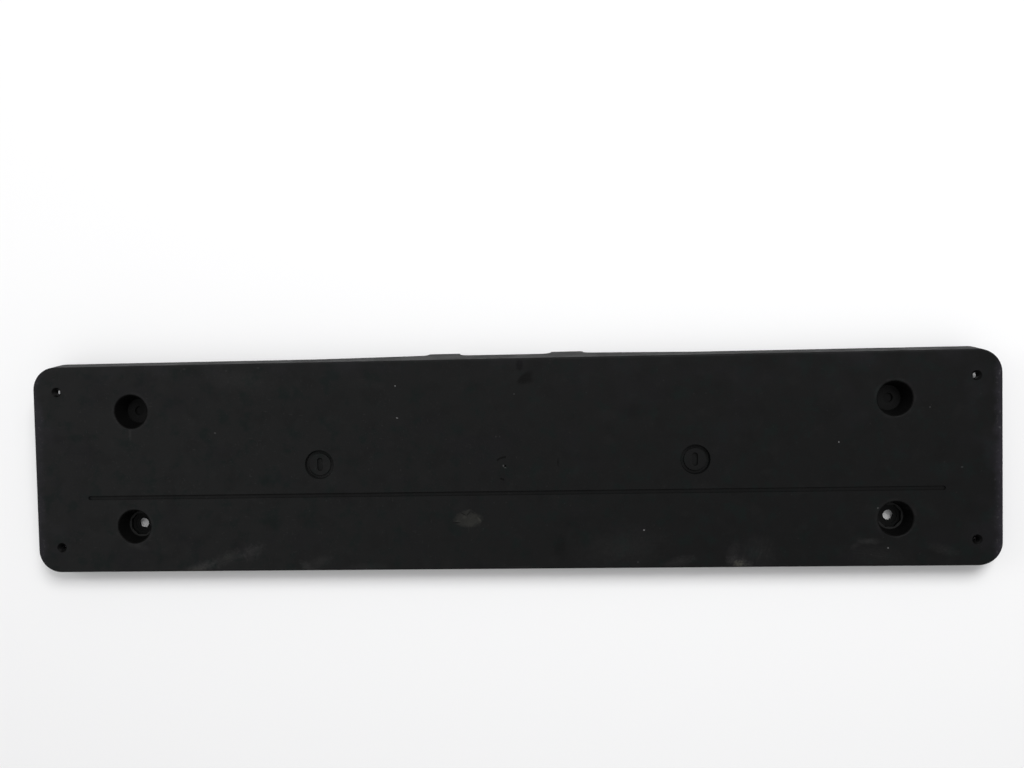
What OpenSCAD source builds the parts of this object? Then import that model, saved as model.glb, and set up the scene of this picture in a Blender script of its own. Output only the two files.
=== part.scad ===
// Holder for a long number plate: a flat moulded face with a leaning rim, four cups for its bolts,
// four screw holes for the plate, and ribs, bosses and two tongues behind.
// The front of the face lies at z = 0 and everything else lies behind it.

/* [Face] */
// Length of the face
face_l = 550; // [500:10:600]
// Height of the face
face_h = 120; // [112:2:150]
// Thickness of the face
face_t = 3; // [2.4:0.2:4]
// Radius of the corners of the face
corner_r = 13; // [8:1:18]
// Rounding between the face and the rim
edge_r = 1.2; // [0.6:0.2:2.4]

/* [Rim] */
// Depth of the rim, from the front of the face to its rear edge
rim_d = 13; // [13:0.5:18]
// Thickness of the rim wall
rim_t = 2.6; // [2:0.2:3.4]
// Outward lean of the rim wall, in degrees
rim_lean = 7.5; // [2:0.5:10]

/* [Deeper upper wall and its tongues] */
// Half length of the stretch where the upper wall is deeper
deep_x = 110; // [90:1:130]
// Depth of the upper wall just outside the tongues, from the front of the face
deep_outer = 19; // [18:0.5:20]
// Depth of the upper wall between the tongues
deep_middle = 17.5; // [16:0.5:20]
// Distance of each tongue from the middle
tongue_x = 36.3; // [32:0.1:60]
// Width of a tongue
tongue_w = 18.8; // [14:0.2:28]
// Reach of a tongue, from the front of the face
tongue_d = 26; // [24:0.5:32]
// Rounding of the tips
tongue_r = 2; // [0.5:0.5:3]
// Radius at the foot of a tongue, on its inner side
foot_inner = 6; // [1:0.5:8]
// Radius at the foot of a tongue, on its outer side
foot_outer = 4.5; // [1:0.5:8]
// Thickness of the web behind a tongue
web_t = 2.4; // [2:0.2:3.4]

/* [Cups] */
// Distance between the left and right cups
cup_pitch_x = 434; // [400:2:440]
// Distance between the upper and lower cups
cup_pitch_y = 67; // [60:1:72]
// Width of a cup's mouth, before it is rounded
cup_mouth = 19.4; // [18:0.2:22]
// Width of the floor of an upper cup
cup_floor = 14.2; // [12:0.2:16]
// Depth of an upper cup
cup_d = 10.6; // [9.5:0.1:11]
// Rounding of the mouth
cup_round = 1.2; // [0.4:0.1:2]
// Wall round a cup, behind the face
cup_wall = 2.2; // [1.6:0.2:3]
// Width of the blind dimple in an upper cup
dimple_w = 5.5; // [3:0.5:6]
// Depth of that dimple
dimple_d = 1.4; // [0.6:0.1:1.5]

/* [Bolt seats in the lower cups] */
// Depth of the ledge round the seat
ledge_d = 9; // [7:0.5:9.5]
// Width of the eight-sided pocket, between its flats
pocket_af = 12.4; // [11:0.2:13.2]
// Depth of the pocket below the ledge
pocket_d = 2; // [1:0.2:2.4]
// Width of the round step on the pocket's floor
step_w = 9.6; // [8:0.2:10.4]
// Depth of that step
step_d = 0.5; // [0.2:0.1:0.8]
// Diameter of the bolt hole
bolt_hole = 5.8; // [5:0.1:7]

/* [Plate screws] */
// Distance of a screw hole from the end of the face
screw_edge_x = 14; // [12:0.5:16]
// Distance of a screw hole from the long edge of the face
screw_edge_y = 14.5; // [12:0.5:16]
// Diameter of a screw hole
screw_hole = 3.5; // [3:0.1:4.5]
// Width of the lead-in at the front
screw_lead = 5.8; // [5:0.1:6.5]
// Width of the boss behind a screw hole
screw_boss = 9; // [8:0.5:12]
// Height of that boss behind the face
screw_boss_h = 2.1; // [0.4:0.1:4]

/* [Slotted discs] */
// Distance of each disc from the middle
disc_x = 107; // [90:1:115]
// Height of the discs above the middle line
disc_y = 1.2; // [-4:0.1:4]
// Diameter of a disc
disc_w = 12.4; // [11:0.2:14]
// Width of the groove round a disc, at its floor
ring_w = 1.7; // [1.4:0.1:3]
// How much wider the groove is at the face, by its leaning outer side
ring_flare = 0.5; // [0:0.1:1]
// Depth of that groove, from the front of the face
ring_d = 2.6; // [2.4:0.1:3.3]
// How far a disc lies below the face
disc_drop = 1.5; // [0.2:0.1:1.9]
// Width of the slot in a disc
slot_w = 3.2; // [1.6:0.1:3.6]
// Length of that slot
slot_l = 7.6; // [5:0.2:9]
// Depth of that slot below the disc
slot_d = 1.5; // [0.4:0.1:1.6]
// Thickness of the pad behind a disc
pad_t = 1.5; // [1:0.1:2.5]
// Thickness of the collar round that pad
collar_t = 2; // [1.4:0.2:3]
// Height of that collar behind the face
collar_h = 5; // [3:0.5:8]

/* [Lines on the face] */
// Length of the long groove
groove_l = 488; // [440:4:492]
// Width of the long groove
groove_w = 2.4; // [1.6:0.1:4]
// Depth of the long groove
groove_d = 0.8; // [0.2:0.1:1]
// Height of the long groove, above the middle line
groove_y = -16.5; // [-18:0.5:-12]
// Diameter of the faint broken ring round the moulding gate
gate_ring = 13.8; // [12:0.2:15]
// Diameter of the gate's pit
gate_pit = 1.2; // [0.8:0.1:1.6]
// Height of the gate, above the middle line
gate_y = -0.9; // [-3:0.1:-0.9]

/* [Ribs] */
// Thickness of a rib at its root
rib_t = 1.8; // [1.2:0.1:2.4]
// Thickness of a rib at its tip
rib_tip = 1.3; // [1:0.1:1.8]
// Depth of the ribs, from the front of the face
rib_d = 11.5; // [10:0.5:12.5]
// Rib spaces between the middle and a cup
rib_spaces = 6; // [5:1:8]

/* [Hidden] */
$fn = 64;
// Overlap where one form runs into another, and excess where a cut leaves the part
sink = 1;
cup_x = cup_pitch_x / 2;
cup_y = cup_pitch_y / 2;
cup_lean = atan((cup_mouth - cup_floor) / 2 / cup_d);
screw_x = face_l / 2 - screw_edge_x;
screw_y = face_h / 2 - screw_edge_y;
rib_pitch = cup_x / rib_spaces;
rib_count = floor((face_l / 2 - rim_t - screw_boss) / rib_pitch);
// The gate's marks: depth of its pit, width and depth of the ring, the ring's centre from the pit, and
// where its arcs start and how far they turn
pit_depth = 0.8;
gate_line = 1;
gate_depth = 0.2;
gate_shift = [-0.1, -1.5];
gate_arcs = [[86, 50], [243, 20]];

// Points of an arc about c, from angle a to angle b
function arc(c, r, a, b, n = 6) =
    [for (i = [0:n]) c + r * [cos(a + (b - a) * i / n), sin(a + (b - a) * i / n)]];

// How far the outside of the rim stands out at depth d, and its inside
function rim_out(d) = d * tan(rim_lean);
function rim_in(d) = rim_out(d) - rim_t / cos(rim_lean);

// Radius of a cup at depth d
function cup_r(d) = cup_mouth / 2 - d * tan(cup_lean);

// Half section of the whole block, outwards from the corner centres, with its rounded front edge
function block_side() =
    let (c = [corner_r - edge_r * (1 - sin(rim_lean)) / cos(rim_lean), -edge_r])
    [[corner_r + rim_out(rim_d), -rim_d], each arc(c, edge_r, rim_lean, 90)];

// Half section of the hollow behind the face, open to the rear
function hollow_side() =
    [[corner_r + rim_in(rim_d + sink), -rim_d - sink], [corner_r + rim_in(face_t), -face_t]];

// A block with the given side all round: four turned corners and two bars between them
module swept_block(side) {
    low = side[0][1];
    high = side[len(side) - 1][1];
    flat_l = face_l / 2 - corner_r;
    flat_h = face_h / 2 - corner_r;
    for (x = [-flat_l, flat_l], y = [-flat_h, flat_h])
        translate([x, y, 0])
            rotate_extrude()
                polygon([[0, low], each side, [0, high]]);
    rotate([90, 0, 90]) bar(side, flat_h, 2 * flat_l);
    rotate([90, 0, 0]) bar(side, flat_l, 2 * flat_h);
}

// A bar of the given length with that side on its left and right, half_w from the middle
module bar(side, half_w, length) {
    right = [for (p = side) [half_w + p[0], p[1]]];
    left = [for (i = [len(side) - 1:-1:0]) [-half_w - side[i][0], side[i][1]]];
    linear_extrude(height = length, center = true)
        polygon(concat(right, left));
}

// A rib along X, thinner towards its tip
module rib(length) {
    rotate([90, 0, 90])
        linear_extrude(height = length, center = true)
            polygon([
                [-rib_t / 2, -face_t + sink], [rib_t / 2, -face_t + sink],
                [rib_tip / 2, -rib_d], [-rib_tip / 2, -rib_d]
            ]);
}

// Place of cross rib i: at an even pitch, or in line with the web of a tongue that it nearly meets
function rib_x(i) =
    let (x = i * rib_pitch)
    abs(abs(x) - tongue_x) < web_t + rib_t ? sign(x) * tongue_x : x;

// Ribs through the cups and along the middle, and across
module ribs() {
    for (y = [-cup_y, 0, cup_y])
        translate([0, y, 0]) rib(face_l);
    for (i = [-rib_count:rib_count])
        translate([rib_x(i), 0, 0]) rotate([0, 0, 90]) rib(face_h);
}

// Outer body of a cup, from the face down to depth d
module cup_body(d) {
    translate([0, 0, -d])
        cylinder(h = d, r1 = cup_r(d) + cup_wall, r2 = cup_mouth / 2 + cup_wall);
}

// What stands behind the face besides the ribs
module bosses() {
    for (x = [-cup_x, cup_x]) {
        translate([x, cup_y, 0]) cup_body(cup_d + cup_wall);
        translate([x, -cup_y, 0]) cup_body(rim_d + sink);
    }
    for (x = [-screw_x, screw_x], y = [-screw_y, screw_y])
        translate([x, y, -face_t - screw_boss_h])
            cylinder(h = screw_boss_h + sink, d = screw_boss);
    for (x = [-disc_x, disc_x])
        translate([x, disc_y, -face_t - collar_h])
            difference() {
                cylinder(h = collar_h + sink, r = disc_w / 2 + ring_w + collar_t);
                translate([0, 0, -sink])
                    cylinder(h = collar_h + sink - pad_t, r = disc_w / 2 + ring_w);
            }
}

// The face with its rim, ribs and bosses, moulded in one
module shell() {
    difference() {
        swept_block(block_side());
        difference() {
            swept_block(hollow_side());
            ribs();
            bosses();
        }
    }
}

// Radius at a tongue's foot, where the wall beside it has depth d
function foot_r(foot, d) = min(foot, tongue_d - tongue_r - d);

// Rear edge of the upper wall, from its middle out past the right tongue to the plain rim
function rear_edge() =
    let (
        left = tongue_x - tongue_w / 2,
        right = tongue_x + tongue_w / 2,
        inner = foot_r(foot_inner, deep_middle),
        outer = foot_r(foot_outer, deep_outer)
    )
    [
        each arc([left - inner, -deep_middle - inner], inner, 90, 0),
        each arc([left + tongue_r, -tongue_d + tongue_r], tongue_r, 180, 270),
        each arc([right - tongue_r, -tongue_d + tongue_r], tongue_r, 270, 360),
        each arc([right + outer, -deep_outer - outer], outer, 180, 90),
        [deep_x, -rim_d]
    ];

// The upper wall carried on past the plain rim: a shallow arch with the two tongues
module deep_wall() {
    top = face_h / 2;
    edge = rear_edge();
    mirrored = [for (i = [len(edge) - 1:-1:0]) [-edge[i][0], edge[i][1]]];
    intersection() {
        rotate([90, 0, 90])
            linear_extrude(height = 2 * deep_x, center = true)
                polygon([
                    [top + rim_in(face_t), -face_t], [top + rim_out(face_t), -face_t],
                    [top + rim_out(tongue_d), -tongue_d], [top + rim_in(tongue_d), -tongue_d]
                ]);
        translate([0, 2 * top, 0])
            rotate([90, 0, 0])
                linear_extrude(height = 2 * top)
                    polygon([
                        each edge, [deep_x, -face_t - edge_r],
                        [-deep_x, -face_t - edge_r], each mirrored
                    ]);
    }
}

// A web that stiffens a tongue from behind
module tongue_web() {
    top = face_h / 2;
    foot = top - tongue_d / 2;
    tip = tongue_d - 2 * tongue_r;
    rotate([90, 0, 90])
        linear_extrude(height = web_t, center = true)
            polygon([
                [foot, -face_t + sink], [top + rim_in(face_t) + sink, -face_t + sink],
                [top + rim_in(tip) + sink, -tip], [top + rim_in(tip), -tip]
            ]);
}

// The hollow of a cup down to depth d, with its rounded mouth
module cup_hollow(d) {
    c = [cup_mouth / 2 + cup_round * (1 - sin(cup_lean)) / cos(cup_lean), -cup_round];
    rotate_extrude()
        polygon([
            [0, sink], [c[0], sink],
            each arc(c, cup_round, 90, 180 - cup_lean),
            [cup_r(d), -d], [0, -d]
        ]);
}

// An upper cup is blind, with a dimple in its floor
module upper_cup() {
    cup_hollow(cup_d);
    translate([0, 0, -cup_d - dimple_d]) cylinder(h = dimple_d + sink, d = dimple_w);
}

// A lower cup has an eight-sided pocket, a round step and the bolt hole
module lower_cup() {
    cup_hollow(ledge_d);
    translate([0, 0, -ledge_d - pocket_d])
        rotate([0, 0, 180 / 8])
            cylinder(h = pocket_d + sink, d = pocket_af / cos(180 / 8), $fn = 8);
    translate([0, 0, -ledge_d - pocket_d - step_d])
        cylinder(h = step_d + sink, d = step_w);
    translate([0, 0, -rim_d - sink])
        cylinder(h = rim_d, d = bolt_hole);
}

// A screw hole with its lead-in
module screw_cut() {
    lead_d = (screw_lead - screw_hole) / 2;
    translate([0, 0, -face_t - screw_boss_h - sink])
        cylinder(h = face_t + screw_boss_h + 2 * sink, d = screw_hole);
    translate([0, 0, -lead_d])
        cylinder(h = lead_d + sink, d1 = screw_hole, d2 = screw_lead + 2 * sink);
}

// A long hole with round ends, along X, cut down to depth d
module slot_cut(length, width, d) {
    span = length - width;
    translate([0, 0, -d]) {
        translate([-span / 2, -width / 2, 0]) cube([span, width, d + sink]);
        for (x = [-span / 2, span / 2])
            translate([x, 0, 0]) cylinder(h = d + sink, d = width);
    }
}

// A disc a little below the face, with a groove round it and an upright slot in it
module disc_cut() {
    ring_r = disc_w / 2 + ring_w;
    difference() {
        translate([0, 0, -ring_d])
            cylinder(h = ring_d + sink, r1 = ring_r, r2 = ring_r + ring_flare * (1 + sink / ring_d));
        translate([0, 0, -ring_d - sink]) cylinder(h = ring_d + sink - disc_drop, d = disc_w);
    }
    rotate([0, 0, 90]) slot_cut(slot_l, slot_w, disc_drop + slot_d);
}

// The marks that the moulding gate left: a pit, and two arcs of a ring round it
module gate_cut() {
    translate([0, 0, -pit_depth]) cylinder(h = pit_depth + sink, d = gate_pit);
    for (a = gate_arcs)
        translate([gate_shift[0], gate_shift[1], -gate_depth])
            rotate([0, 0, a[0]])
                rotate_extrude(angle = a[1])
                    translate([gate_ring / 2 - gate_line, 0])
                        square([gate_line, gate_depth + sink]);
}

module plate_holder() {
    color([0.16, 0.165, 0.17])
        difference() {
            union() {
                shell();
                deep_wall();
                for (x = [-tongue_x, tongue_x])
                    translate([x, 0, 0]) tongue_web();
            }
            for (x = [-cup_x, cup_x]) {
                translate([x, cup_y, 0]) upper_cup();
                translate([x, -cup_y, 0]) lower_cup();
            }
            for (x = [-screw_x, screw_x], y = [-screw_y, screw_y])
                translate([x, y, 0]) screw_cut();
            for (x = [-disc_x, disc_x])
                translate([x, disc_y, 0]) disc_cut();
            translate([0, groove_y, 0]) slot_cut(groove_l, groove_w, groove_d);
            translate([0, gate_y, 0]) gate_cut();
        }
}

plate_holder();
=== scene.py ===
import math

import bpy
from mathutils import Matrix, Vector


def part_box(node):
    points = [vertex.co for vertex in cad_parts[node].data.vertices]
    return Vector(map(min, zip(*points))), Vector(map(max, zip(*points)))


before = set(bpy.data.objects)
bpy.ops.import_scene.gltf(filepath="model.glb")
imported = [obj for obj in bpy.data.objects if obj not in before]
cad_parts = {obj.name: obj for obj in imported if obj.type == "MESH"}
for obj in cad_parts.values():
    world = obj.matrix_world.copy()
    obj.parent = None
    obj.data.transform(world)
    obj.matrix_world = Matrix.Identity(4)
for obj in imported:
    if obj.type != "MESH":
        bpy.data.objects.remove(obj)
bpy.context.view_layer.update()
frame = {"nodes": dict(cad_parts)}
bpy.ops.object.select_all(action="DESELECT")
holder = frame["nodes"]["plate_holder"]
print("frame loaded:", ", ".join(frame["nodes"]))

mm = 0.001


# small helpers for shader trees

def addNode(tree, kind, values=None, **settings):
    made = tree.nodes.new(kind)
    for name, value in settings.items():
        setattr(made, name, value)
    for name, value in (values or {}).items():
        made.inputs[name].default_value = value
    return made


def join(tree, source, target):
    tree.links.new(source, target)


def feed(tree, value, target):
    # value is a socket, a number or a colour
    if isinstance(value, bpy.types.NodeSocket):
        join(tree, value, target)
    elif target.type == "RGBA":
        target.default_value = (*value, 1)
    else:
        target.default_value = value


def calc(tree, operation, first, second=None, clamp=False):
    made = addNode(tree, "ShaderNodeMath", operation=operation, use_clamp=clamp)
    feed(tree, first, made.inputs[0])
    if second is not None:
        feed(tree, second, made.inputs[1])
    return made.outputs[0]


def product(tree, first, *others):
    for other in others:
        first = calc(tree, "MULTIPLY", first, other)
    return first


def outside(tree, mask):
    # what a mask leaves out
    return calc(tree, "SUBTRACT", 1, mask)


def fade(tree, value, low, high, outLow=0.0, outHigh=1.0):
    # a smooth step from low to high. The dictionaries below give its limits in this order
    made = addNode(tree, "ShaderNodeMapRange", {
        "From Min": low, "From Max": high, "To Min": outLow, "To Max": outHigh,
    }, interpolation_type="SMOOTHSTEP")
    join(tree, value, made.inputs["Value"])
    return made.outputs["Result"]


def tint(tree, amount, under, over):
    # over laid on under, by a mask
    made = addNode(tree, "ShaderNodeMix", data_type="RGBA")
    join(tree, amount, made.inputs["Factor"])
    colours = [socket for socket in made.inputs if socket.type == "RGBA"]
    feed(tree, under, colours[0])
    feed(tree, over, colours[1])
    return next(socket for socket in made.outputs if socket.type == "RGBA")


def noise(tree, vector, look):
    # noise by its look, stretched or shifted where that says so
    if "stretch" in look or "shift" in look:
        moved = addNode(tree, "ShaderNodeMapping", {
            "Location": look.get("shift", (0, 0, 0)), "Scale": look.get("stretch", (1, 1, 1)),
        })
        join(tree, vector, moved.inputs["Vector"])
        vector = moved.outputs["Vector"]
    made = addNode(tree, "ShaderNodeTexNoise", {
        "Scale": look["scale"], "Detail": look["detail"], "Roughness": look.get("roughness", 0.5),
    })
    join(tree, vector, made.inputs["Vector"])
    return made.outputs["Fac"]


def clouds(tree, vector, look):
    # a mask: noise that fades in between two levels
    return fade(tree, noise(tree, vector, look), *look["fade"])


def placeOf(tree, kind):
    where = addNode(tree, "ShaderNodeTexCoord").outputs[kind]
    parts = addNode(tree, "ShaderNodeSeparateXYZ")
    join(tree, where, parts.inputs[0])
    return {"xyz": where, "x": parts.outputs["X"], "y": parts.outputs["Y"], "z": parts.outputs["Z"]}


def newMaterial(name):
    made = bpy.data.materials.new(name)
    made.use_nodes = True
    made.node_tree.nodes.clear()
    return made, made.node_tree


# mask of a ragged oval patch, turned and placed on the face, plain or with streaks along it

patchLook = {
    "depth": 2 * mm,
    "ragged": {"scale": 420, "detail": 4, "roughness": 0.6},
    "grain": {"scale": 900, "detail": 3},
    "streaks": {"scale": 1.6, "detail": 3, "roughness": 0.6,
                "stretch": (1.2, 6, 1), "fade": (0.42, 0.66)},
}
plainMark = {"turn": 0, "ragged": 1.2, "soft": 0.8, "grain": 1.5, "streaks": 0.0}


def makePatchGroup():
    tree = bpy.data.node_groups.new("patchMask", "ShaderNodeTree")
    for name in ("Vector", "Centre", "Reach", "Turn"):
        tree.interface.new_socket(name=name, in_out="INPUT", socket_type="NodeSocketVector")
    for name in ("Ragged", "Softness", "Grain", "Streaks"):
        tree.interface.new_socket(name=name, in_out="INPUT", socket_type="NodeSocketFloat")
    tree.interface.new_socket(name="Mask", in_out="OUTPUT", socket_type="NodeSocketFloat")
    given = addNode(tree, "NodeGroupInput").outputs

    # distance from the patch's middle, as a share of its reach
    placed = addNode(tree, "ShaderNodeMapping", vector_type="TEXTURE")
    join(tree, given["Vector"], placed.inputs["Vector"])
    join(tree, given["Centre"], placed.inputs["Location"])
    join(tree, given["Turn"], placed.inputs["Rotation"])
    join(tree, given["Reach"], placed.inputs["Scale"])
    away = addNode(tree, "ShaderNodeVectorMath", operation="LENGTH")
    join(tree, placed.outputs["Vector"], away.inputs[0])

    # a ragged, soft edge, then grain and streaks inside it
    ragged = calc(tree, "SUBTRACT", noise(tree, given["Vector"], patchLook["ragged"]), 0.5)
    edge = calc(tree, "ADD", away.outputs["Value"], product(tree, ragged, given["Ragged"]))
    mask = calc(tree, "DIVIDE", outside(tree, edge), given["Softness"], clamp=True)
    grain = calc(tree, "SUBTRACT", noise(tree, given["Vector"], patchLook["grain"]), 0.5)
    grain = calc(tree, "ADD", 1, product(tree, grain, given["Grain"]))
    mask = calc(tree, "MULTIPLY", mask, grain, clamp=True)
    streaks = clouds(tree, placed.outputs["Vector"], patchLook["streaks"])
    streaks = product(tree, outside(tree, streaks), given["Streaks"])
    mask = calc(tree, "MULTIPLY", mask, outside(tree, streaks), clamp=True)
    out = addNode(tree, "NodeGroupOutput")
    join(tree, mask, out.inputs["Mask"])
    return tree


patchGroup = makePatchGroup()


def patch(tree, vector, mark):
    x, y = mark["at"]
    long, wide = mark["reach"]
    made = addNode(tree, "ShaderNodeGroup", {
        "Centre": (x * mm, y * mm, 0),
        "Reach": (long * mm, wide * mm, patchLook["depth"]),
        "Turn": (0, 0, math.radians(mark["turn"])),
        "Ragged": mark["ragged"],
        "Softness": mark["soft"],
        "Grain": mark["grain"],
        "Streaks": mark["streaks"],
    }, node_tree=patchGroup)
    join(tree, vector, made.inputs["Vector"])
    return product(tree, made.outputs["Mask"], mark["strength"])


# grained black plastic and what lies on it

plastic = {
    "face": (0.0038, 0.0039, 0.0040),
    "paleLeft": (0.0080, 0.0082, 0.0083),
    "greenish": (0.0026, 0.0056, 0.0052),
    "bluish": (0.0054, 0.0049, 0.0062),
    # dark also serves as painted shade in recesses and creases
    "dark": (0.0006, 0.0006, 0.0006),
    # painted shade for the cup walls
    "wall": (0.0018, 0.0018, 0.0018),
    "haze": (0.060, 0.058, 0.058),
    "violet": (0.030, 0.027, 0.036),
    "paper": (0.028, 0.0275, 0.0245),
    "chalk": (0.130, 0.125, 0.095),
    # painted light for the left disc's ring and the cup ledges
    "paintedLight": (0.012, 0.012, 0.012),
    "fleckAndGlint": (0.30, 0.30, 0.30),
    "gloss": 0.10,
    "roughness": {"scale": 60, "detail": 3, "fade": (0.3, 0.7, 0.52, 0.62)},
    "grain": {"scale": 2600, "detail": 2, "roughness": 0.6},
    "coarseGrain": {"scale": 700, "detail": 1},
    "coarseShare": 0.6,
    "grainHeight": 0.05 * mm,
}

# places in mm on the face, as seen from the front
scuffs = {"over": "haze", "marks": [
    {"at": (-162, -52.5), "reach": (21, 4.5), "turn": 20, "strength": 0.15, "ragged": 1.8, "streaks": 0.5},
    {"at": (-178, -57.5), "reach": (11, 3.5), "turn": 12, "strength": 0.20, "ragged": 1.8},
    {"at": (-147, -49), "reach": (9, 5), "turn": 25, "strength": 0.12, "ragged": 2.0},
    {"at": (-116, -57.5), "reach": (6, 3), "turn": -35, "strength": 0.22, "streaks": 0.5},
    {"at": (-108, -55), "reach": (9, 4), "turn": 20, "strength": 0.09},
    {"at": (-80, -58), "reach": (14, 2.5), "strength": 0.11, "streaks": 0.6},
    {"at": (9, -59.5), "reach": (12, 1.6), "strength": 0.16, "streaks": 0.6},
    {"at": (66, -49), "reach": (30, 14), "turn": 8, "strength": 0.07, "soft": 1.0},
    {"at": (97, -56.5), "reach": (12, 3.5), "turn": 14, "strength": 0.20, "streaks": 0.7},
    {"at": (131, -57.5), "reach": (9, 4), "turn": -12, "strength": 0.30, "streaks": 0.4, "grain": 4},
    {"at": (127, -52), "reach": (9, 4), "turn": 70, "strength": 0.14, "streaks": 0.6},
    {"at": (142, -52), "reach": (11, 12), "turn": 80, "strength": 0.13, "soft": 1.0, "streaks": 0.6},
    {"at": (195, -48), "reach": (5, 2), "turn": 30, "strength": 0.07},
    {"at": (202, -45.8), "reach": (8, 2.2), "turn": -4, "strength": 0.17, "soft": 1.0},
    {"at": (207, -54), "reach": (20, 7), "turn": -6, "strength": 0.11, "streaks": 0.6, "soft": 1.0},
    {"at": (243, -51), "reach": (11, 3.5), "turn": -16, "strength": 0.14, "streaks": 0.7},
    {"at": (-217.8, 20), "reach": (1.1, 4.5), "strength": 0.12, "ragged": 0.6},
    {"at": (-215, -45), "reach": (9, 2.5), "turn": -14, "strength": 0.10, "soft": 1.0},
    {"at": (-151, 51), "reach": (25, 9), "turn": -10, "strength": 0.07, "soft": 1.0},
    {"at": (-80, 47), "reach": (14, 4), "turn": -4, "strength": 0.05, "streaks": 0.8},
    {"at": (-101, -9), "reach": (8, 6), "turn": 40, "strength": 0.03, "soft": 1.0},
    {"at": (146.5, -6.4), "reach": (4, 3), "strength": 0.035, "soft": 1.0},
]}
flecksAndGlints = {"over": "fleckAndGlint", "ragged": 0.2, "marks": [
    {"at": (-62.0, 45.6), "reach": (0.5, 0.5), "strength": 0.50},
    {"at": (-61.3, 27.3), "reach": (0.8, 0.4), "turn": -12, "strength": 0.50},
    {"at": (5.8, 39.8), "reach": (0.5, 0.5), "strength": 0.12},
    {"at": (-167.5, 20.4), "reach": (0.8, 0.6), "strength": 0.14},
    {"at": (77.7, -38.4), "reach": (0.7, 0.5), "turn": 20, "strength": 0.50},
    {"at": (74, -56.6), "reach": (0.5, 0.5), "strength": 0.12},
    {"at": (186.1, 9.8), "reach": (0.5, 0.5), "strength": 0.50},
    {"at": (235.7, 28.4), "reach": (0.5, 0.5), "strength": 0.14},
    {"at": (212.5, -49.8), "reach": (0.5, 0.5), "strength": 0.50},
    {"at": (207.1, -27.4), "reach": (0.5, 0.5), "strength": 0.25},
    {"at": (252.8, -5.1), "reach": (0.9, 0.4), "strength": 0.12},
    # the next two: painted glints on the rim of the gate pit
    {"at": (-1.1, -0.9), "reach": (0.6, 0.9), "strength": 0.16},
    {"at": (-0.1, -2.0), "reach": (0.9, 0.45), "turn": -20, "strength": 0.12},
    {"at": (-5.0, 15.8), "reach": (0.6, 0.6), "strength": 0.05},
    {"at": (-2.9, 15.8), "reach": (0.5, 0.6), "strength": 0.04},
    {"at": (-184.5, 57.6), "reach": (1.1, 0.7), "strength": 0.04, "ragged": 0.4},
    {"at": (-159.9, 56.1), "reach": (0.8, 0.8), "strength": 0.04, "ragged": 0.4},
    {"at": (-141.1, 57.4), "reach": (1.2, 0.6), "strength": 0.04, "ragged": 0.4},
]}
chalkMarks = {"over": "chalk", "ragged": 1.6, "marks": [
    {"at": (130.5, -58.2), "reach": (5, 2.4), "turn": -8, "strength": 0.26, "ragged": 2.2,
     "streaks": 0.4, "grain": 4},
    {"at": (-162, -51.5), "reach": (5, 2.0), "turn": 28, "strength": 0.03},
    {"at": (-181, -59), "reach": (8, 1.6), "turn": 8, "strength": 0.05},
]}
# a dried drop of pale dirt: its dome in the dirt's own colour with painted highlights on the folds on it,
# then painted shade in the creases between them
dropDirtAndHighlights = {"over": "paper", "marks": [
    {"at": (-21.9, -31.2), "reach": (8.6, 5.2), "strength": 0.42, "ragged": 0.9, "soft": 0.35},
    {"at": (-20.0, -33.0), "reach": (5.4, 3.2), "strength": 0.22, "soft": 0.6},
    {"at": (-23.9, -30.0), "reach": (1.7, 1.2), "turn": 25, "strength": 0.50, "ragged": 0.6, "soft": 0.7},
    {"at": (-19.0, -29.9), "reach": (2.6, 2.2), "strength": 0.18, "ragged": 0.6},
    {"at": (-21.9, -26.4), "reach": (2.4, 0.9), "turn": 22, "strength": 0.45, "ragged": 0.6},
    {"at": (-28.2, -32.3), "reach": (2.4, 0.5), "strength": 0.65, "ragged": 0.3},
    {"at": (-15.4, -31.5), "reach": (2.2, 0.8), "turn": -52, "strength": 0.80, "ragged": 0.4},
    {"at": (-21.7, -37.2), "reach": (0.7, 2.2), "strength": 0.20, "ragged": 0.4, "soft": 1.0},
]}
# painted shade in the drop's creases and under its lower left fold
creaseShade = {"over": "dark", "ragged": 0.3, "soft": 0.5, "marks": [
    {"at": (-24.6, -28.2), "reach": (2.4, 0.4), "turn": -28, "strength": 0.75},
    {"at": (-21.6, -28.0), "reach": (1.9, 0.4), "turn": 44, "strength": 0.75},
    {"at": (-19.0, -27.5), "reach": (1.8, 0.4), "turn": -26, "strength": 0.60},
    {"at": (-28.5, -33.1), "reach": (2.6, 0.5), "strength": 0.70},
]}
darkMarks = {"over": "dark", "marks": [
    {"at": (12.2, 48.9), "reach": (6.2, 2.8), "turn": 38, "strength": 1.0, "ragged": 0.5, "soft": 0.5},
    {"at": (12.6, 47.4), "reach": (5.8, 2.4), "strength": 0.8, "ragged": 0.5, "soft": 0.6},
    {"at": (9.2, 56.1), "reach": (2.5, 4.0), "strength": 1.0, "ragged": 0.3, "soft": 0.5},
    {"at": (29.9, 0.8), "reach": (0.5, 3.0), "strength": 0.9, "ragged": 0.2, "soft": 0.5},
    {"at": (-1.4, -8), "reach": (3.5, 10), "strength": 0.25, "soft": 1.0},
    {"at": (74.8, 29.5), "reach": (11, 7), "strength": 0.30, "soft": 1.0},
    {"at": (34.4, -34.0), "reach": (9, 5), "strength": 0.35, "soft": 1.0},
    {"at": (30.1, -49.3), "reach": (6, 10), "strength": 0.45, "soft": 1.0},
]}


def addMarks(tree, place, colour, kind):
    for mark in kind["marks"]:
        mask = patch(tree, place["xyz"], {**plainMark, **kind, **mark})
        colour = tint(tree, mask, colour, plastic[kind["over"]])
    return colour


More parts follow.
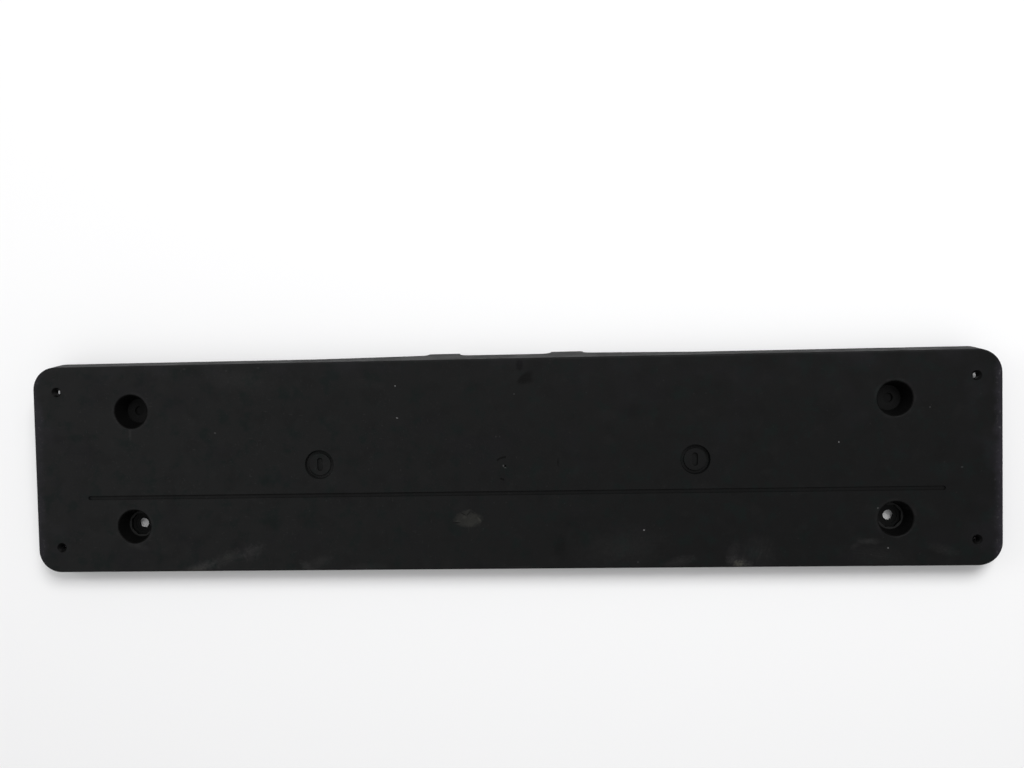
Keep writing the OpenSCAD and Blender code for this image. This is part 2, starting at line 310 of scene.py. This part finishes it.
# soft clouds over all: a greener and a bluer black, then darker and paler blotches
tones = {
    "paleLeft": (0.15, -0.26),
    "clouds": [
        {"over": "greenish", "amount": 0.65,
         "scale": 85, "detail": 5, "roughness": 0.7, "fade": (0.50, 0.66)},
        {"over": "bluish", "amount": 0.3,
         "scale": 34, "detail": 3, "shift": (3, 1, 0), "fade": (0.54, 0.68)},
        {"over": "dark", "amount": 0.16,
         "scale": 85, "detail": 4, "shift": (0, 5, 0), "fade": (0.50, 0.66)},
        {"over": "haze", "amount": 0.02,
         "scale": 95, "detail": 4, "shift": (7, 2, 0), "fade": (0.54, 0.72)},
    ],
}


def addTones(tree, place):
    # paler towards the left
    colour = tint(tree, fade(tree, place["x"], *tones["paleLeft"]), plastic["face"], plastic["paleLeft"])
    for cloud in tones["clouds"]:
        mask = product(tree, clouds(tree, place["xyz"], cloud), cloud["amount"])
        colour = tint(tree, mask, colour, plastic[cloud["over"]])
    return colour


# short fine scratches, upright and level, more of them to the left
scratches = {
    "runs": [(1, 0.22, 1), (0.22, 1, 1)],
    "line": {"scale": 1500, "detail": 1, "fade": (0.66, 0.76)},
    "spread": {"scale": 60, "detail": 2, "fade": (0.40, 0.58)},
    "left": (0.10, -0.15, 0.35, 1.0),
    "amount": 0.13,
}


def addScratches(tree, place, colour):
    few = clouds(tree, place["xyz"], scratches["spread"])
    few = product(tree, few, fade(tree, place["x"], *scratches["left"]))
    for run in scratches["runs"]:
        thin = clouds(tree, place["xyz"], {**scratches["line"], "stretch": run})
        colour = tint(tree, product(tree, thin, few, scratches["amount"]), colour, plastic["haze"])
    return colour


# a violet tint in clouds along the upper edge and near the ends
violetEdge = {
    "look": {"scale": 38, "detail": 3, "shift": (1, 8, 0), "fade": (0.46, 0.64)},
    "upper": (0.046, 0.060),
    "ends": (0.245, 0.272),
    "amount": 0.10,
}


def addVioletEdge(tree, place, colour):
    upper = fade(tree, place["y"], *violetEdge["upper"])
    ends = fade(tree, calc(tree, "ABSOLUTE", place["x"]), *violetEdge["ends"])
    mask = clouds(tree, place["xyz"], violetEdge["look"])
    mask = product(tree, mask, calc(tree, "MAXIMUM", upper, ends), violetEdge["amount"])
    return tint(tree, mask, colour, plastic["violet"])


# a painted highlight along the rounded ends, fainter on the left, with pale flecks in it
band = {
    "end": 275 * mm,
    "wander": {"scale": 120, "detail": 4},
    "wanderBy": 0.030,
    "fade": (0.992, 1.014),
    "left": (-0.2, 0.2, 0.6, 1.0),
    "amount": 0.45,
    "flecks": {"scale": 620, "detail": 3, "fade": (0.56, 0.74)},
    "fleckAmount": 0.14,
}


def addBand(tree, place, colour):
    end = calc(tree, "DIVIDE", calc(tree, "ABSOLUTE", place["x"]), band["end"])
    wander = product(tree, noise(tree, place["xyz"], band["wander"]), band["wanderBy"])
    # mask of the painted highlight on the ends
    paintedLight = fade(tree, calc(tree, "ADD", end, wander), *band["fade"])
    paintedLight = product(tree, paintedLight, fade(tree, place["x"], *band["left"]))
    colour = tint(tree, product(tree, paintedLight, band["amount"]), colour, plastic["violet"])
    flecks = product(tree, clouds(tree, place["xyz"], band["flecks"]), paintedLight, band["fleckAmount"])
    return tint(tree, flecks, colour, plastic["fleckAndGlint"])


# dust: small faint dots
dust = {"scale": 300, "dot": (0.14, 0.06), "share": (0.78, 1.0), "amount": 0.025}


def addDust(tree, place, colour):
    cells = addNode(tree, "ShaderNodeTexVoronoi", {"Scale": dust["scale"], "Randomness": 1.0})
    join(tree, place["xyz"], cells.inputs["Vector"])
    dot = fade(tree, cells.outputs["Distance"], *dust["dot"])
    lot = addNode(tree, "ShaderNodeSeparateColor")
    join(tree, cells.outputs["Color"], lot.inputs[0])
    bright = fade(tree, lot.outputs[0], *dust["share"])
    return tint(tree, product(tree, dot, bright, dust["amount"]), colour, plastic["fleckAndGlint"])


def near(tree, place, at, reach, soft=0.4 * mm):
    # mask of a round place, the same on the left and the right, above and below the middle
    across = calc(tree, "SUBTRACT", calc(tree, "ABSOLUTE", place["x"]), at[0])
    up = calc(tree, "SUBTRACT", calc(tree, "ABSOLUTE", place["y"]), at[1])
    away = calc(tree, "ADD", product(tree, across, across), product(tree, up, up))
    return fade(tree, calc(tree, "SQRT", away), reach, reach - soft)


# painted shade in the recesses, in the plastic's deepest black. In the long groove it lies along the upper
# side, in the shadow of the upper edge
recess = {
    "depth": (-0.04 * mm, -0.2 * mm),
    "floor": (-1.5 * mm, -1.2 * mm),
    "insideX": (0.270, 0.268),
    "insideY": (0.0575, 0.0565),
    "grooveY": -16.5 * mm,
    "grooveHalf": (1.6 * mm, 1.4 * mm),
    "lowerSide": (0.5 * mm, -0.1 * mm, 0.20, 0.65),
    "rightEnd": (0.0, 0.2, 0.25, 0.75),
}
# the discs, and painted light that lifts the shade in the ring round the left disc
disc = {
    "at": (107 * mm, 1.2 * mm),
    "radius": 8.8 * mm,
    "top": 6.3 * mm,
    "depth": (-0.3 * mm, -0.6 * mm),
    "left": (0.1, -0.1, 0.0, 0.25),
}


def addRecesses(tree, place, colour):
    # painted shade in the recesses, kept off the groove's lower side and off the discs
    deep = product(tree, fade(tree, place["z"], *recess["depth"]), fade(tree, place["z"], *recess["floor"]))
    insideX = fade(tree, calc(tree, "ABSOLUTE", place["x"]), *recess["insideX"])
    insideY = fade(tree, calc(tree, "ABSOLUTE", place["y"]), *recess["insideY"])
    offGroove = calc(tree, "SUBTRACT", place["y"], recess["grooveY"])
    groove = fade(tree, calc(tree, "ABSOLUTE", offGroove), *recess["grooveHalf"])
    lower = fade(tree, offGroove, *recess["lowerSide"])
    lower = calc(tree, "MAXIMUM", lower, fade(tree, place["x"], *recess["rightEnd"]))
    shadeKept = outside(tree, product(tree, groove, lower))
    inDisc = near(tree, place, disc["at"], disc["radius"])
    deep = product(tree, deep, insideX, insideY, shadeKept, outside(tree, inDisc))
    colour = tint(tree, deep, colour, plastic["dark"])

    # painted light in the ring round the left disc
    top = near(tree, place, disc["at"], disc["top"])
    ring = product(tree, inDisc, fade(tree, place["z"], *disc["depth"]), outside(tree, top))
    ring = product(tree, ring, fade(tree, place["x"], *disc["left"]))
    return tint(tree, ring, colour, plastic["paintedLight"])


# the cups: painted shade on their walls and floors, a rounded mouth hazed with dust and a painted highlight
# on the ledge in the lower ones
cup = {
    "at": (217 * mm, 33.5 * mm),
    "radius": 9.9 * mm,
    "floor": (-10.4 * mm, -10.2 * mm, 0.8, 1.0),
    "wallTop": (-0.3 * mm, -1.2 * mm),
    "mouth": {"scale": 110, "detail": 3, "fade": (0.40, 0.60)},
    "mouthReach": 12.3 * mm,
    "mouthSoft": 1.6 * mm,
    "mouthAmount": 0.05,
    "ledge": -9 * mm,
    "ledgeHalf": (0.15 * mm, 0.05 * mm),
    "lowerOnes": (0, -0.01),
}


def addCups(tree, place, colour):
    inCup = near(tree, place, cup["at"], cup["radius"])
    # painted shade on the cup walls and floor
    wall = product(tree, inCup, fade(tree, place["z"], *cup["floor"]))
    wall = product(tree, wall, fade(tree, place["z"], *cup["wallTop"]))
    colour = tint(tree, wall, colour, plastic["wall"])
    mouth = near(tree, place, cup["at"], cup["mouthReach"], cup["mouthSoft"])
    mouth = product(tree, mouth, outside(tree, inCup), clouds(tree, place["xyz"], cup["mouth"]))
    colour = tint(tree, product(tree, mouth, cup["mouthAmount"]), colour, plastic["haze"])
    # painted highlight on the ledge of the lower cups
    offLedge = calc(tree, "ABSOLUTE", calc(tree, "SUBTRACT", place["z"], cup["ledge"]))
    ledge = product(tree, inCup, fade(tree, offLedge, *cup["ledgeHalf"]))
    ledge = product(tree, ledge, fade(tree, place["y"], *cup["lowerOnes"]))
    return tint(tree, ledge, colour, plastic["paintedLight"])


def makePlastic():
    made, tree = newMaterial("grainedBlackPlastic")
    place = placeOf(tree, "Object")
    colour = addTones(tree, place)
    for kind in (darkMarks, scuffs, chalkMarks, dropDirtAndHighlights, creaseShade):
        colour = addMarks(tree, place, colour, kind)
    colour = addScratches(tree, place, colour)
    colour = addVioletEdge(tree, place, colour)
    colour = addBand(tree, place, colour)
    colour = addDust(tree, place, colour)
    colour = addMarks(tree, place, colour, flecksAndGlints)
    colour = addRecesses(tree, place, colour)
    colour = addCups(tree, place, colour)

    coarse = product(tree, noise(tree, place["xyz"], plastic["coarseGrain"]), plastic["coarseShare"])
    height = calc(tree, "ADD", noise(tree, place["xyz"], plastic["grain"]), coarse)
    bump = addNode(tree, "ShaderNodeBump", {"Strength": 1.0, "Distance": plastic["grainHeight"]})
    join(tree, height, bump.inputs["Height"])
    shader = addNode(tree, "ShaderNodeBsdfPrincipled", {"Specular IOR Level": plastic["gloss"]})
    join(tree, colour, shader.inputs["Base Color"])
    join(tree, clouds(tree, place["xyz"], plastic["roughness"]), shader.inputs["Roughness"])
    join(tree, bump.outputs["Normal"], shader.inputs["Normal"])
    out = addNode(tree, "ShaderNodeOutputMaterial")
    join(tree, shader.outputs["BSDF"], out.inputs["Surface"])
    return made


blackPlastic = makePlastic()
for slot in holder.material_slots:
    slot.link = "OBJECT"
    slot.material = blackPlastic
print("plastic ready")


# camera

look = {
    "place": (28.511 * mm, 59.875 * mm, 468.875 * mm),
    "turn": (-0.0317, 0.0500, -0.0204),
    "lens": 29.18,
    "sensor": 36,
    "nearest": 10 * mm,
}
bpy.ops.object.camera_add(location=look["place"], rotation=look["turn"])
camera = bpy.context.object
camera.data.lens = look["lens"]
camera.data.sensor_width = look["sensor"]
camera.data.clip_start = look["nearest"]
bpy.context.scene.camera = camera
print("camera ready")


# floor: the holder lies on its two tongues and on the rear edge of its lower rim

floor = {
    "rimDepth": 13 * mm,
    "side": 12,
    "colour": (0.86, 0.86, 0.865),
    "far": (0.10, 0.26, 0.0, 0.6),  # how it fades to white beyond the holder, for the camera alone
}
low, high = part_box("plate_holder")
slope = math.atan2(-floor["rimDepth"] - low.z, high.y - low.y)
bpy.ops.mesh.primitive_plane_add(size=floor["side"])
ground = bpy.context.object
ground.name = "ground"
ground.rotation_euler.x = -slope
ground.location = (0, low.y, -floor["rimDepth"])


def seenWhite(tree, share, plain, white, output):
    # the camera sees white, by a share, and all else meets the plain shader
    mix = addNode(tree, "ShaderNodeMixShader")
    join(tree, share, mix.inputs[0])
    join(tree, plain.outputs[0], mix.inputs[1])
    join(tree, white.outputs[0], mix.inputs[2])
    join(tree, mix.outputs[0], addNode(tree, output).inputs["Surface"])


def makeGround():
    made, tree = newMaterial("paleFloor")
    matt = addNode(tree, "ShaderNodeBsdfDiffuse", {"Color": (*floor["colour"], 1)})
    white = addNode(tree, "ShaderNodeEmission", {"Color": (1, 1, 1, 1), "Strength": 1.0})
    seen = addNode(tree, "ShaderNodeLightPath").outputs["Is Camera Ray"]
    far = fade(tree, placeOf(tree, "Object")["y"], *floor["far"])
    seenWhite(tree, product(tree, seen, far), matt, white, "ShaderNodeOutputMaterial")
    return made


ground.data.materials.append(makeGround())
print("floor ready")


# light: a pale room, a soft lamp high behind the upper edge and a weaker one from the left

lamps = [
    {"name": "keyLamp", "place": (0.35, 0.90, 1.10), "size": 0.7, "power": 15},
    {"name": "leftLamp", "place": (-1.2, 0.3, 0.7), "size": 0.7, "power": 3},
]
for lamp in lamps:
    bpy.ops.object.light_add(type="AREA", location=lamp["place"])
    made = bpy.context.object
    made.name = lamp["name"]
    made.data.size = lamp["size"]
    made.data.energy = lamp["power"]
    aim = -made.location
    made.rotation_euler = aim.to_track_quat("-Z", "Y").to_euler()

# the room is brighter overhead, where the direction's height nears 1
room = {"low": 0.55, "high": 0.95, "sides": 0.34, "overhead": 0.80}
world = bpy.data.worlds.new("paleRoom")
bpy.context.scene.world = world
world.use_nodes = True
world.node_tree.nodes.clear()


def lightRoom(tree):
    light = addNode(tree, "ShaderNodeBackground", {"Color": (1, 1, 1, 1)})
    height = placeOf(tree, "Generated")["z"]
    strength = fade(tree, height, room["low"], room["high"], room["sides"], room["overhead"])
    join(tree, strength, light.inputs["Strength"])
    white = addNode(tree, "ShaderNodeBackground", {"Color": (1, 1, 1, 1), "Strength": 1.0})
    seen = addNode(tree, "ShaderNodeLightPath").outputs["Is Camera Ray"]
    seenWhite(tree, seen, light, white, "ShaderNodeOutputWorld")


lightRoom(world.node_tree)
bpy.context.scene.view_settings.view_transform = "Standard"
print("light ready")
